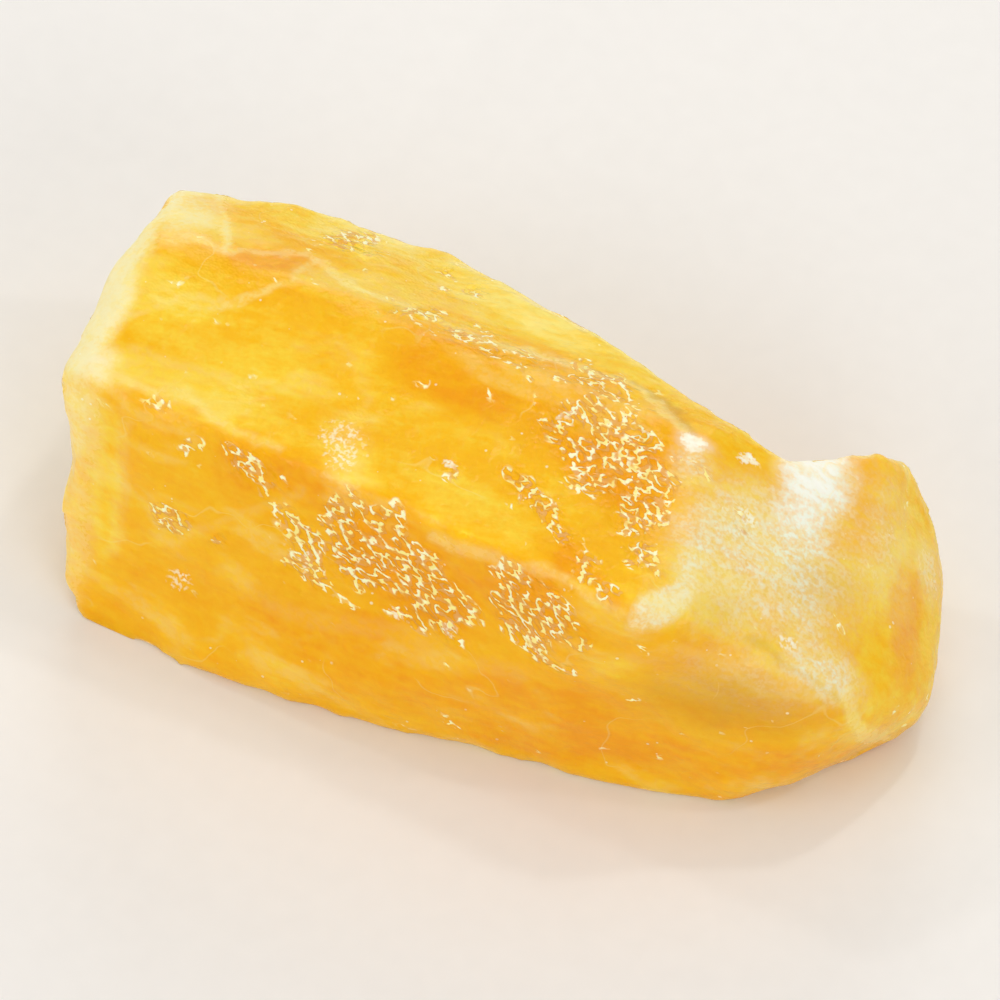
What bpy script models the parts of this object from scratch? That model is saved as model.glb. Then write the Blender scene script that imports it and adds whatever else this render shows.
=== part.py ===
"""A rough chunk of yellow calcite, broken along its cleavage and resting on a flat face.

X runs along the chunk, its front looks towards -Y and Z is up. The block has a level cleavage face
on top, a tall front face that leans out, a strip that slopes away behind the top face, and a lower,
cloudy end lobe at +X. Sizes here are in millimetres; the finished mesh is in metres.
"""

import math

import bmesh
import bpy
from mathutils import Euler, Matrix, Vector, noise

NAME = "calcite_chunk"
MM = 0.001

# Driving dimensions
TOP_HEIGHT = 16.0
RIDGE_Y = -12.9
BACK_EDGE_Y = -2.8
BACK_Y = 4.2
LEFT_END_X = -17.4
SLOPE_START_X = 13.6
LOBE_RIDGE = (21.8, -3.6, 11.3)
RIGHT_END_X = 25.0
FRONT_FOLD_HEIGHT = 6.9

# Faces that the block and the lobe share: a point on each, the way it faces round from +X, and
# how many degrees it looks up
BASE = ((0, 0, 0), 0, -90)
TOP = ((0, RIDGE_Y, TOP_HEIGHT), -90, 88.5)
FRONT = ((0, RIDGE_Y, TOP_HEIGHT), -90, 14)
FRONT_RIGHT = ((15, RIDGE_Y, 9), -75, 1)
SLOPE = ((SLOPE_START_X, -8, TOP_HEIGHT), 15, 60)

# Surface form: how far it moves, and over what length it changes
SWELL, SWELL_LENGTH = 0.34, 8.0
LUMP, LUMP_LENGTH = 0.09, 2.4
STEP, STEP_LENGTH = 0.5, 8.0
STEP_LEVELS = 4
STEP_RUN = Vector((0.86, 0, -0.5))
STEP_ACROSS = Vector((0.55, 1.4, 0.95))
STEP_EVENNESS = 0.3
RISER_SHARE = 0.16
CHIP, CHIP_LENGTH = 0.85, 2.8
SHARP_EDGE = 0.055
CLEAVAGE_ANGLE = math.radians(75)

# Places whose edges are worn round: the middle, how far the wear reaches and its rounds of averaging
WORN_PLACES = {
    "lobe_shoulder": ((21.6, -12.6, 11.0), 9.5, 230),
    "lobe_peak": ((LOBE_RIDGE[0] + 1.5, LOBE_RIDGE[1] - 1.0, LOBE_RIDGE[2]), 5.0, 30),
    "lobe_end": ((RIGHT_END_X + 0.6, -5.0, 7.0), 6.5, 60),
    "tip": ((LEFT_END_X - 1.4, -0.5, 14.5), 4.5, 3),
}

# Mesh density
VOXEL = 0.4
MOST_TRIANGLES = 9800
LEVEL_BELOW = 1.5
BASE_TRIM = 0.25


def direction(facing, rise):
    """The unit vector at this many degrees round from +X towards +Y, raised this many above level."""
    facing, rise = math.radians(facing), math.radians(rise)
    return Vector((math.cos(rise) * math.cos(facing), math.cos(rise) * math.sin(facing), math.sin(rise)))


def cut_away(bm, point, outward):
    """Removes what lies beyond the plane through the point. It gives the edges of the cut."""
    cut = bmesh.ops.bisect_plane(
        bm,
        geom=bm.verts[:] + bm.edges[:] + bm.faces[:],
        dist=1e-4,
        plane_co=Vector(point),
        plane_no=outward,
        clear_outer=True,
    )
    return [item for item in cut["geom_cut"] if isinstance(item, bmesh.types.BMEdge)]


def broken_block(faces):
    """A closed block bounded by faces, each given as the shared ones above are."""
    bm = bmesh.new()
    bmesh.ops.create_cube(bm, size=120.0)
    for point, facing, rise in faces:
        rim = cut_away(bm, point, direction(facing, rise))
        if rim:
            bmesh.ops.edgenet_fill(bm, edges=rim)
    bmesh.ops.recalc_face_normals(bm, faces=bm.faces[:])
    return bm


def body_block():
    """The main cleavage block, from the left end to under the end lobe."""
    front_fold = ((2.5, RIDGE_Y - 2.75, FRONT_FOLD_HEIGHT), -82, -3)
    left_end = ((LEFT_END_X, -12, 12), 187, -2)
    left_top_bevel = ((LEFT_END_X, -10, TOP_HEIGHT - 0.8), 187, 49)
    left_front_bevel = ((LEFT_END_X + 0.1, RIDGE_Y - 1.2, 12), 222, 12)
    left_undercut = ((LEFT_END_X + 0.9, -8, 0.8), 184, -44)
    back_strip = ((0, BACK_EDGE_Y, TOP_HEIGHT + 0.1), 92, 59)
    back_left = ((-10.7, BACK_Y - 0.6, 12), 106, 12)
    back_middle = ((1.7, BACK_Y - 0.7, 12), 77, 9)
    back_undercut = ((-2, BACK_Y + 0.6, 3.5), 93, -34)
    under_lobe = ((20, 0, 8), 10, 6)
    right_foot = ((20.7, -9.5, 0.5), -42, -36)
    return broken_block([
        BASE, TOP, FRONT, FRONT_RIGHT, SLOPE,
        front_fold, left_end, left_top_bevel, left_front_bevel, left_undercut,
        back_strip, back_left, back_middle, back_undercut, under_lobe, right_foot,
    ])


def end_lobe():
    """The cloudy lobe at the right end, which stands out behind and beyond the block."""
    shoulder = (LOBE_RIDGE, 18, 33)
    end_face = ((RIGHT_END_X, -0.8, 5.5), 26, 8)
    end_undercut = ((RIGHT_END_X, -0.8, 3.5), 24, -12)
    front_undercut = ((17, RIDGE_Y + 0.6, 4), -71, -16)
    front_corner = ((RIGHT_END_X, -7.6, 6.5), -26, -18)
    front_foot = ((21.0, -9.3, 0.5), -40, -38)
    back_right = ((22.3, BACK_Y - 0.4, 10), 58, 16)
    back_undercut = ((20, BACK_Y, 4), 78, -22)
    notch_side = ((15.7, 0.1, 12), 142, 8)
    inside_block = ((10, 0, 0), 180, 0)
    return broken_block([
        BASE, TOP, FRONT, FRONT_RIGHT, SLOPE,
        shoulder, end_face, end_undercut, front_undercut, front_corner, front_foot,
        back_right, back_undercut, notch_side, inside_block,
    ])


def object_from(bm, name, collection):
    mesh = bpy.data.meshes.new(name)
    bm.to_mesh(mesh)
    bm.free()
    made = bpy.data.objects.new(name, mesh)
    collection.objects.link(made)
    return made


def helper_from(bm, name, collection):
    """A shape that is cut or joined, and isn't part of the finished object."""
    helper = object_from(bm, name, collection)
    helper.hide_render = True
    helper.display_type = "WIRE"
    return helper


def placed(bm, size, turn, centre, shear=None):
    """Stretches the shape, leans it, turns it by three angles in degrees and moves it."""
    turned = Euler([math.radians(angle) for angle in turn]).to_matrix()
    lean = shear if shear is not None else Matrix.Identity(3)
    for vert in bm.verts:
        stretched = Vector([part * side for part, side in zip(vert.co, size)])
        vert.co = turned @ (lean @ stretched) + Vector(centre)
    bmesh.ops.recalc_face_normals(bm, faces=bm.faces[:])
    return bm


def cleavage_rhomb(size, turn, centre):
    """A calcite rhomb. Where one has broken away, it leaves a ledge with flat faces."""
    lean = 1 / math.tan(CLEAVAGE_ANGLE)
    bm = bmesh.new()
    bmesh.ops.create_cube(bm, size=1.0)
    return placed(bm, size, turn, centre, Matrix(((1, lean, lean), (0, 1, lean), (0, 0, 1))))


def shell(radii, turn, centre):
    """An ellipsoid. Where one has broken away, it leaves a shallow scar shaped like a shell."""
    bm = bmesh.new()
    bmesh.ops.create_icosphere(bm, subdivisions=4, radius=1.0)
    return placed(bm, radii, turn, centre)


def broken_away():
    """The pieces that have broken from the chunk, by name."""
    return {
        "end_scar": shell((4.0, 3.4, 2.6), (0, 0, 30), (28.2, -9.4, 3.6)),
        "back_scar": shell((9.0, 4.6, 4.4), (0, 8, 6), (-6.0, 9.0, 7.0)),
        "front_scar": shell((8.0, 3.6, 2.6), (0, 6, 10), (9.0, -17.9, 1.2)),
        "ridge_pit": shell((1.3, 1.0, 0.9), (0, 0, -25), (-2.5, -11.1, TOP_HEIGHT + 0.55)),
        "slope_scar": shell((1.9, 1.1, 0.9), (0, 20, -20), (15.6, -12.4, TOP_HEIGHT - 0.1)),
        "corner_scar": shell((1.5, 1.2, 1.1), (0, 30, 0), (13.4, -2.6, TOP_HEIGHT + 0.4)),
        "base_scar": shell((7.0, 3.2, 2.4), (0, 0, -12), (-9.0, 4.6, -0.6)),
        "end_base_scar": shell((3.0, 5.0, 2.0), (0, 0, 12), (26.4, -0.6, -0.2)),
        "top_ledge": cleavage_rhomb((16.0, 9.0, 3.0), (-1, 1.5, -29), (12.2, -4.4, TOP_HEIGHT + 1.25)),
        "back_ledge": cleavage_rhomb((15.0, 7.0, 7.0), (8, 0, -8), (9.0, 7.2, 2.8)),
        "left_ledge": cleavage_rhomb((7.0, 9.0, 8.0), (0, 12, 14), (-20.4, 4.6, 2.6)),
        "end_ledge": cleavage_rhomb((9.0, 6.0, 7.0), (0, 20, 24), (28.0, 4.6, 10.8)),
    }


def combine(target, other, operation):
    modifier = target.modifiers.new(other.name, "BOOLEAN")
    modifier.operation = operation
    modifier.solver = "EXACT"
    modifier.object = other


def evaluated_bmesh(source):
    graph = bpy.context.evaluated_depsgraph_get()
    mesh = bpy.data.meshes.new_from_object(source.evaluated_get(graph))
    bm = bmesh.new()
    bm.from_mesh(mesh)
    bpy.data.meshes.remove(mesh)
    return bm


def average_round(vert):
    """The middle of a point's neighbours."""
    around = [edge.other_vert(vert).co for edge in vert.link_edges]
    return sum(around, Vector()) / len(around)


def convexity(bm, rounds):
    """How far each point stands above its neighbours along its normal, averaged over a few rounds."""
    above = {vert: (vert.co - average_round(vert)).dot(vert.normal) for vert in bm.verts}
    for _ in range(rounds):
        above = {
            vert: (above[vert] + sum(above[edge.other_vert(vert)] for edge in vert.link_edges))
            / (1 + len(vert.link_edges))
            for vert in bm.verts
        }
    return above


def stepped(value):
    """A rising value turned into flat treads with short risers between them."""
    scaled = value * STEP_LEVELS
    tread = math.floor(scaled)
    riser = max(0.0, (scaled - tread - 1 + RISER_SHARE) / RISER_SHARE)
    return (tread + riser) / STEP_LEVELS


def cleavage_terraces(point, normal):
    """Low terraces that run down along the faces towards +X, on all faces but the even top."""
    along = point.dot(STEP_RUN) * STEP_EVENNESS
    across = point.dot(STEP_ACROSS)
    field = noise.noise(Vector((along, across, 4.0)) / STEP_LENGTH)
    evenness = max(0.0, normal.z) ** 2
    return stepped(field) * (1 - 0.8 * evenness)


def roughen(bm):
    """Moves each point along its normal: swells, lumps and terraces on the faces, chips on the edges.

    Near the base points move sideways only, so that the resting face stays level.
    """
    above = convexity(bm, rounds=3)
    moves = []
    for vert in bm.verts:
        point = vert.co
        swell = SWELL * noise.noise(point / SWELL_LENGTH + Vector((3.1, 0.4, 7.7)))
        lump = LUMP * noise.fractal(point / LUMP_LENGTH, 0.8, 2.1, 3)
        step = STEP * cleavage_terraces(point, vert.normal)
        edge = min(1.0, max(0.0, above[vert] / SHARP_EDGE))
        bite = max(0.0, noise.noise(point / CHIP_LENGTH + Vector((9.2, 5.5, 1.3))) + 0.25)
        move = vert.normal * (swell + lump + step - edge * bite * CHIP)
        move.z *= min(1.0, max(0.0, point.z / LEVEL_BELOW))
        moves.append(move)
    for vert, move in zip(bm.verts, moves):
        vert.co += move


def wear_round(bm):
    """Draws the points of each worn place towards their neighbours, most of all in its middle."""
    for middle, reach, rounds in WORN_PLACES.values():
        worn = {}
        for vert in bm.verts:
            closeness = 1 - (vert.co - Vector(middle)).length / reach
            if closeness > 0:
                worn[vert] = min(1.0, 2 * closeness)
        for _ in range(rounds):
            moved = {vert: vert.co.lerp(average_round(vert), share / 2) for vert, share in worn.items()}
            for vert, place in moved.items():
                vert.co = place


def finish_on_base(bm):
    """Cuts the resting face level, stands it on Z = 0 and centres the chunk over the origin."""
    rim = cut_away(bm, (0, 0, BASE_TRIM), Vector((0, 0, -1)))
    bmesh.ops.holes_fill(bm, edges=rim)
    low = Vector([min(vert.co[axis] for vert in bm.verts) for axis in range(3)])
    high = Vector([max(vert.co[axis] for vert in bm.verts) for axis in range(3)])
    shift = Vector((-(low.x + high.x) / 2, -(low.y + high.y) / 2, -low.z))
    bmesh.ops.translate(bm, verts=bm.verts[:], vec=shift)
    bmesh.ops.scale(bm, verts=bm.verts[:], vec=Vector((MM, MM, MM)))
    bmesh.ops.recalc_face_normals(bm, faces=bm.faces[:])


def calcite_material():
    material = bpy.data.materials.new("yellow_calcite")
    material.use_nodes = True
    shader = material.node_tree.nodes["Principled BSDF"]
    shader.inputs["Base Color"].default_value = (0.96, 0.55, 0.09, 1)
    shader.inputs["Roughness"].default_value = 0.3
    shader.inputs["Metallic"].default_value = 0.0
    return material


def build():
    for left_over in list(bpy.data.objects):
        bpy.data.objects.remove(left_over)
    scene = bpy.context.scene
    parts = bpy.data.collections.new("yellow_calcite")
    helpers = bpy.data.collections.new("cutters")
    scene.collection.children.link(parts)
    scene.collection.children.link(helpers)

    rough = helper_from(body_block(), "rough_block", helpers)
    combine(rough, helper_from(end_lobe(), "end_lobe", helpers), "UNION")
    for name, lost in broken_away().items():
        combine(rough, helper_from(lost, name, helpers), "DIFFERENCE")
    remesh = rough.modifiers.new("even_faces", "REMESH")
    remesh.mode = "VOXEL"
    remesh.voxel_size = VOXEL

    fine = evaluated_bmesh(rough)
    wear_round(fine)
    fine.normal_update()
    roughen(fine)
    dense = helper_from(fine, "roughened_block", helpers)
    triangles = sum(len(face.vertices) - 2 for face in dense.data.polygons)
    thinned = dense.modifiers.new("fewer_faces", "DECIMATE")
    thinned.ratio = min(1.0, MOST_TRIANGLES / triangles)

    finished = evaluated_bmesh(dense)
    finish_on_base(finished)
    chunk = object_from(finished, NAME, parts)
    chunk.data.materials.append(calcite_material())
    for helper in list(helpers.objects):
        bpy.data.objects.remove(helper)


build()
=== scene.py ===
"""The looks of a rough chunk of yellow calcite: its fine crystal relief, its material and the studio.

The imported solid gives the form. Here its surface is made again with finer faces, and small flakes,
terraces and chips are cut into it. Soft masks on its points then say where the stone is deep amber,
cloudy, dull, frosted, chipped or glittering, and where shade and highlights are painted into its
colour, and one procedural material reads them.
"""

import math

import bpy
import numpy as np
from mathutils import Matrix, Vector, noise

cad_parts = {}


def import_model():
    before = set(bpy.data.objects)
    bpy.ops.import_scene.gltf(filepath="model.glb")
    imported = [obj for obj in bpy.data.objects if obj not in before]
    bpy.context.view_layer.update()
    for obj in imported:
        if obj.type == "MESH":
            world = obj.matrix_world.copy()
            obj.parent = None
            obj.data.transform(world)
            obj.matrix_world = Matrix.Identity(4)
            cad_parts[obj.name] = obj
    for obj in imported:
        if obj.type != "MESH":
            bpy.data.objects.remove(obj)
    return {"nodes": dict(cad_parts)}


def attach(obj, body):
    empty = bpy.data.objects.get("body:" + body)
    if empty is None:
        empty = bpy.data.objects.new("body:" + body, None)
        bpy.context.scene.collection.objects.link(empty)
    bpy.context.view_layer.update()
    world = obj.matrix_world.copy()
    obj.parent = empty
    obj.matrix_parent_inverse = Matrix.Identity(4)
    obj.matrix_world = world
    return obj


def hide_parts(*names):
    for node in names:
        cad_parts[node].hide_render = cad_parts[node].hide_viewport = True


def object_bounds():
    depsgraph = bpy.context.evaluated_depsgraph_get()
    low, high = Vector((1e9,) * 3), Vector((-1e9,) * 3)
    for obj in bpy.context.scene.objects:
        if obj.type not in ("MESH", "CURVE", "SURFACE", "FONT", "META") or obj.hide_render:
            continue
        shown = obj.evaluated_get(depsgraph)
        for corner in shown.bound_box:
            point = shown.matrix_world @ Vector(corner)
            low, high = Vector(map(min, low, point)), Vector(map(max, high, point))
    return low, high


NODE = "calcite_chunk"
MM = 0.001

# The photograph's view. PHOTO_ORIGIN is the pixel where the frame's origin shows, and the picture
# frames the chunk closely: it spans PICTURE_PIXELS of the photograph around PICTURE_CENTRE.
VIEW_AZIMUTH = math.radians(28)
VIEW_ELEVATION = math.radians(55)
VIEW_DISTANCE = 600 * MM
MM_PER_PIXEL = 0.125
PHOTO_ORIGIN = (465.8, 404.4)
PICTURE_CENTRE = (462, 365)
PICTURE_PIXELS = 400
PICTURE_WIDTH = PICTURE_PIXELS * MM_PER_PIXEL * MM
SENSOR_WIDTH = 36.0
NEAR_CLIP, FAR_CLIP = VIEW_DISTANCE / 100, VIEW_DISTANCE * 20

# Fine relief, in millimetres: how wide its faces are, and for each kind of feature how long it is
# and how high it stands or how deep it goes
FINE_VOXEL = 0.205
TERRACE_LENGTH, TERRACE_HEIGHT = 3.4, 0.16
FLAKE_LENGTH, FLAKE_HEIGHT = 1.7, 0.07
GRAIN_LENGTH, GRAIN_HEIGHT = 0.8, 0.035
GLITTER_LENGTH, GLITTER_HEIGHT = 0.8, 0.2
CHIP_LENGTH, CHIP_DEPTH = 1.1, 0.3

# Terraces in each unit of noise, and the share of each that its riser takes. Chips begin at the
# first level of their noise and are whole at the second.
TERRACE_LEVELS, TERRACE_RISER = 5, 0.25
CHIP_LEVELS = (0.0, 0.35)

# Edges are where the surface stands above its surroundings, in millimetres: they begin to be sharp
# at the first height and are wholly so at the second. The relief grows in over BASE_FADE above the
# base, so that the face that the chunk rests on stays flat.
SHARP_RISE = (0.03, 0.12)
BASE_FADE = 1.05

# Rounds of averaging over neighbours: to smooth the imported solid's facets, to find the surroundings
# of a point, and to even out the normals that the masks read
SMOOTHING_ROUNDS, SURROUNDINGS_ROUNDS, NORMAL_ROUNDS = 5, 14, 6

# Each seed moves the noise by its number times these steps, and FLAKE_SHUFFLE makes the tilts of
# neighbouring flakes differ
SEED_STEPS = (3.7, 1.9, 5.3)
FLAKE_SEED_STEPS = (1.3, 2.9, 0.7)
FLAKE_SHUFFLE = 7.3

# The textures of a material and the crack_side mask go from 0 to 1, around this middle
MIDDLE = 0.5

# Veils inside the stone, in millimetres: how wide, how much longer than wide, and how far folded.
# Each of their octaves is half as wide as the one before, and VEIL_FADE times as strong.
VEIL_LENGTH, VEIL_STRETCH, VEIL_FOLD = 2.4, 3.0, 0.9
VEIL_OCTAVES, VEIL_FADE = 4, 0.62
VEIL_FOLD_SEED, VEIL_SEED = 30, 40

# What the veils do: to the depth of the amber, to haze on hidden sides, and as pale wisps. Wisps
# begin and are whole where the veils' noise is this far below nothing.
VEILS_IN_DEPTH, VEILS_IN_HAZE = 0.15, 0.4
WISPS, WISP_LEVELS = 0.25, (0.15, 0.7)

# Marks' edges wander by this many pixels in waves of this many millimetres, so that no mark ends
# on a drawn line
WANDER_PIXELS = 3.0
WANDER_LENGTH = 2.2

# How far the normal of a surface has to point at the camera, up, or to the front or the back, to
# begin to count as seen, as the top, or as the front or the back, and to count wholly
SEEN_NORMAL = (-0.05, 0.15)
TOP_NORMAL = (0.75, 0.93)
FRONT_NORMAL = (0.3, 0.75)

# How deep the amber looks, from 0, thin and pale, to 1: on any side, and how much more or less on
# some, and on the sides that the photograph hides. More on front faces is painted shade, and less on
# faces that look back is painted light from behind.
SIDE_DEPTH, MORE_ON_TOP, PAINTED_SHADE_ON_FRONT, PAINTED_BACKLIGHT_BEHIND = 0.42, 0.12, 0.22, 0.14
HIDDEN_DEPTH = 0.5

# Smooth waves that are added up: length in millimetres, seed and amount
HIDDEN_DEPTH_WAVES = ((9, 5, 0.35), (4, 6, 0.15))
DEPTH_WAVES = ((3.5, 20, 0.12),)
GLITTER_WAVES = ((1.4, 22, 0.5),)
CRACK_WAVES = ((6, 24, 0.5), (1.2, 25, 0.125))

# Patches where smooth noise is high: length in millimetres, seed, the levels where a patch begins
# and is whole, and its strength
HIDDEN_CLOUDS = (7, 7, 0.05, 0.6, 0.6)
HIDDEN_CHIPS = (3, 21, 0.35, 0.65, 0.7)
HIDDEN_GLITTER = (6, 8, 0.18, 0.5, 1.0)
CRUMB_DRIFTS = (2.6, 23, 0.0, 0.25, 1.0)
CRACK_STRETCHES = (4, 26, -0.05, 0.2, 1.0)
EDGE_FROST_PATCHES = (2.5, 10, -0.3, 0.3, 1.0)

# Veins on hidden sides run where smooth noise is near nothing: its length in millimetres, its
# seed, how near, and their strength
HIDDEN_VEIN_LENGTH, HIDDEN_VEIN_SEED, HIDDEN_VEIN_WIDTH, HIDDEN_VEINS = 8, 9, 0.07, 0.5

# Glitter, with its waves added, begins at the first level and is whole at the second
GLITTER_LEVELS = (0.1, 0.9)

# Frosted edges are thin, so the amber under them is this much less deep. Sharp edges are frosted
# this strongly, and less where the photograph shows them, because its own frost lines are there.
THIN_AT_FROST = 0.45
FROST_ON_EDGES, FROST_ON_SEEN_EDGES = 0.35, 0.14

# Where marks begin to fade and where they are gone: ovals from 0 in their middle to 1 at their
# edge, and lines as shares of their width
OVAL_FADE = (0.45, 1.2)
HAZE_FADE = (0.0, 1.05)
TONGUE_FADE = (0.55, 1.12)
SCATTER_FADE = (0.25, 1.4)
LINE_FADE = (0.2, 1.0)

# Marks in the photograph: centre x and y, half length, half width, in pixels, degrees that the long
# axis turns down from the right, and strength
# Deep amber, and painted shade: under_ridge and top_below_ledge below the ridge and the ledge, and
# lower_middle, bottom_margin and bottom_right near the floor
DEEP_AND_SHADED_ZONES = {
    "top_right": (497, 338, 46, 24, 35, 0.34),
    "top_middle": (446, 316, 38, 18, 25, 0.34),
    "top_corner": (527, 336, 16, 9, 40, 0.24),
    "top_below_ledge": (485, 388, 14, 8, 40, 0.22),
    "wedge_behind_tip": (370, 269, 20, 5, 10, 0.35),
    "under_ridge": (412, 375, 58, 14, 32, 0.20),
    "front_right": (475, 410, 32, 16, 38, 0.22),
    "lower_band": (405, 425, 54, 18, 24, 0.22),
    "lower_middle": (470, 446, 54, 14, 12, 0.26),
    "bottom_margin": (500, 461, 62, 10, 8, 0.28),
    "bottom_right": (570, 470, 44, 8, -4, 0.22),
    "end_strip": (624, 414, 7, 26, 0, 0.42),
    "on_ridge": (421, 368, 16, 7, 30, 0.16),
    "front_glitter": (424, 394, 36, 19, 38, 0.34),
    "front_right_glitter": (474, 407, 28, 15, 48, 0.34),
    "top_glitter": (508, 350, 30, 20, 38, 0.44),
}
# Pale amber, and painted light from behind on strip_left and strip_right
PALE_AND_BACKLIT_ZONES = {
    "top_left": (352, 300, 46, 22, 30, 0.16),
    "top_before_ridge": (452, 366, 36, 8, 28, 0.22),
    "front_left_margin": (304, 360, 7, 44, 0, 0.24),
    "front_lobe": (516, 436, 34, 9, 8, 0.10),
    "strip_left": (400, 258, 52, 8, 18, 0.18),
    "strip_right": (480, 293, 62, 9, 28, 0.34),
}
# White haze that fades out softly, on the end lobe and beside it
CLOUDS = {
    "lobe": (570, 392, 56, 44, 15, 0.52),
    "lobe_low": (562, 438, 46, 16, 8, 0.20),
    "lobe_peak": (588, 356, 22, 24, 8, 1.00),
    "lobe_peak_core": (588, 353, 15, 17, 8, 0.90),
    "lobe_band": (584, 394, 15, 46, 0, 0.40),
    "lobe_left": (552, 374, 30, 22, -20, 0.36),
    "lobe_right": (614, 376, 14, 40, 0, 0.22),
    "lobe_foot": (592, 434, 24, 15, 35, 0.66),
    "chip_fan": (539, 350, 14, 14, 0, 0.45),
    "end_margin": (633, 394, 7, 18, 0, 0.40),
    "above_lens": (537, 391, 19, 8, -62, 0.45),
    "peak_front": (585, 374, 25, 19, -55, 0.60),
}
# White haze that ends at a crisp edge
TONGUES = {
    "lens": (529, 405, 21, 8, -36, 0.46),
}
# Cream frost that fades out softly
CREAM_CLOUDS = {
    "lens": (527, 408, 20, 10, -34, 0.30),
    "tip": (337, 250, 25, 17, 0, 0.66),
    "corner": (299, 311, 16, 12, 0, 0.72),
    "end_strip": (622, 410, 10, 40, 0, 0.15),
    "spot_on_top": (399, 343, 16, 19, 10, 0.18),
}
# Thick parts where the stone is dull and brownish, partly painted shade on the lobe
DULL_AND_SHADED_ZONES = {
    "lobe_low": (552, 446, 56, 20, 6, 0.80),
    "lobe_middle": (590, 400, 22, 22, 0, 0.40),
    "lobe_left": (548, 412, 20, 14, -20, 0.20),
}
# Dull lines: points in pixels, width and strength
DULL_LINES = {
    "behind_ledge": (((514, 319), (529, 327), (541, 336)), 2.2, 0.75),
    "lobe_crack": (((561, 420), (586, 437), (598, 446)), 2.6, 0.30),
}
# Parts that are nearly white, where the stone is full of small cracks
WHITE_CLOUDS = {
    "peak": (588, 353, 21, 20, 10, 0.95),
    "peak_front": (584, 368, 19, 17, -45, 0.45),
    "ledge": (540, 341, 11, 7, 30, 0.80),
    "corner": (299, 309, 12, 9, 0, 0.40),
    "left_edge": (306, 284, 9, 28, 22, 0.30),
    "lens": (534, 403, 14, 6, -32, 0.16),
}
# Crumbly pale patches with crisp, uneven edges, and four painted glints, the painted_glint marks
CHIPS_AND_GLINTS = {
    "ledge_chip": (540, 341, 7.5, 5, 30, 0.85),
    "small_chip": (560, 349, 5, 2.6, 20, 0.70),
    "spot_on_top": (398, 342, 13, 13, 15, 0.35),
    "front_spot": (333, 396, 8, 6, 0, 0.36),
    "lobe_chip_upper": (561, 372, 6, 4, 35, 0.50),
    "lobe_chip_lower": (577, 423, 6, 3.5, 30, 0.45),
    "tip_rim": (330, 243, 9, 4, -25, 0.40),
    "top_dot": (442, 351, 4, 3, 30, 0.55),
    # Painted glints: bright highlights drawn as pale marks
    "painted_glint_top": (490, 331, 5, 2.5, -20, 0.60),
    "painted_glint_left": (384, 390, 5, 2.5, 75, 0.55),
    "painted_glint_middle": (419, 412, 5, 2.5, 35, 0.50),
    "painted_glint_low": (442, 417, 4.5, 3, 20, 0.55),
}
# Patches of crystal curls, with painted highlights on their rims
GLITTER_PATCHES = {
    "top_right": (507, 346, 36, 23, 38, 1.00),
    "top_low": (518, 366, 18, 16, 0, 0.90),
    "ledge": (478, 366, 24, 7, 50, 0.90),
    "ledge_foot": (502, 396, 20, 8, 60, 0.80),
    "beside_lens": (517, 389, 9, 8, 45, 0.85),
    "front_column": (386, 386, 24, 10, 62, 0.95),
    "front_left": (412, 386, 34, 22, 35, 0.95),
    "front_low": (432, 404, 28, 17, 35, 1.00),
    "front_right": (476, 410, 29, 17, 48, 1.00),
    "under_ridge": (364, 353, 22, 7, 30, 0.80),
    "front_edge_left": (322, 325, 12, 4, 10, 0.32),
    "front_dot": (338, 343, 7, 6, 0, 0.75),
    "front_pair": (330, 373, 11, 8, 50, 1.00),
    "front_last": (348, 381, 6, 4, 0, 0.60),
    "top_dots": (442, 352, 10, 7, 60, 0.70),
    "top_dots_behind": (474, 321, 7, 9, 0, 0.65),
    "strip": (403, 261, 14, 8, 20, 0.92),
    "strip_right": (447, 281, 18, 8, 25, 0.50),
    "back_edge": (452, 300, 52, 7, 24, 0.58),
    "back_edge_right": (500, 315, 26, 6, 22, 0.60),
    "lobe_dots": (556, 373, 10, 7, 30, 0.42),
}
# Lines of frost and pale veins, written like the dull lines: points in pixels, width and strength
FROST_LINES = {
    "left_edge": (((337, 240), (320, 250), (311, 268), (303, 290), (294, 309)), 12, 0.86),
    "left_bevel_top": (((297, 309), (291, 320), (290, 342)), 15, 0.50),
    "left_bevel": (((290, 342), (289, 372), (286, 402)), 15, 0.30),
    "ridge_left": (((303, 313), (335, 324), (351, 334)), 3.2, 0.20),
    "ridge_middle": (((351, 334), (361, 340), (374, 347)), 2.8, 0.22),
    "ridge_spot": (((392, 354), (404, 359)), 2.6, 0.22),
    "ridge_right": (((436, 378), (448, 385), (480, 393), (510, 410)), 3.6, 0.24),
    "tip_rim": (((348, 243), (353, 252), (353, 263)), 3.0, 0.50),
    "tip_fold": (((334, 243), (333, 250), (337, 258)), 2.6, 0.40),
    "back_edge_left": (((336, 261), (357, 264)), 2.6, 0.34),
    "back_edge": (((357, 263), (383, 268), (402, 277), (436, 294), (465, 304)), 2.0, 0.28),
    "back_edge_right": (((465, 305), (494, 311), (516, 321), (537, 335)), 2.6, 0.36),
    "bevel_crease": (((310, 336), (311, 360), (308, 384)), 5, 0.10),
    "lobe_facet_edge": (((601, 444), (607, 459), (616, 460)), 4.5, 0.28),
}
VEINS = {
    "across_top": (((345, 289), (373, 280), (388, 271)), 2.4, 0.55),
    "top_left_upper": (((312, 292), (335, 284), (350, 285)), 2.4, 0.35),
    "top_left_lower": (((306, 304), (340, 313), (372, 318)), 3.0, 0.25),
    "top_middle": (((396, 300), (410, 322), (404, 338)), 3.0, 0.18),
    "front_sweep": (((330, 380), (370, 366), (384, 362)), 3.0, 0.15),
    "front_low_sweep": (((372, 408), (420, 420), (470, 436)), 6.0, 0.12),
    "front_lobe_sweep": (((500, 432), (530, 426), (560, 430)), 6.0, 0.15),
    "lobe_left": (((540, 420), (548, 395), (545, 372)), 4.0, 0.20),
}
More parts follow.
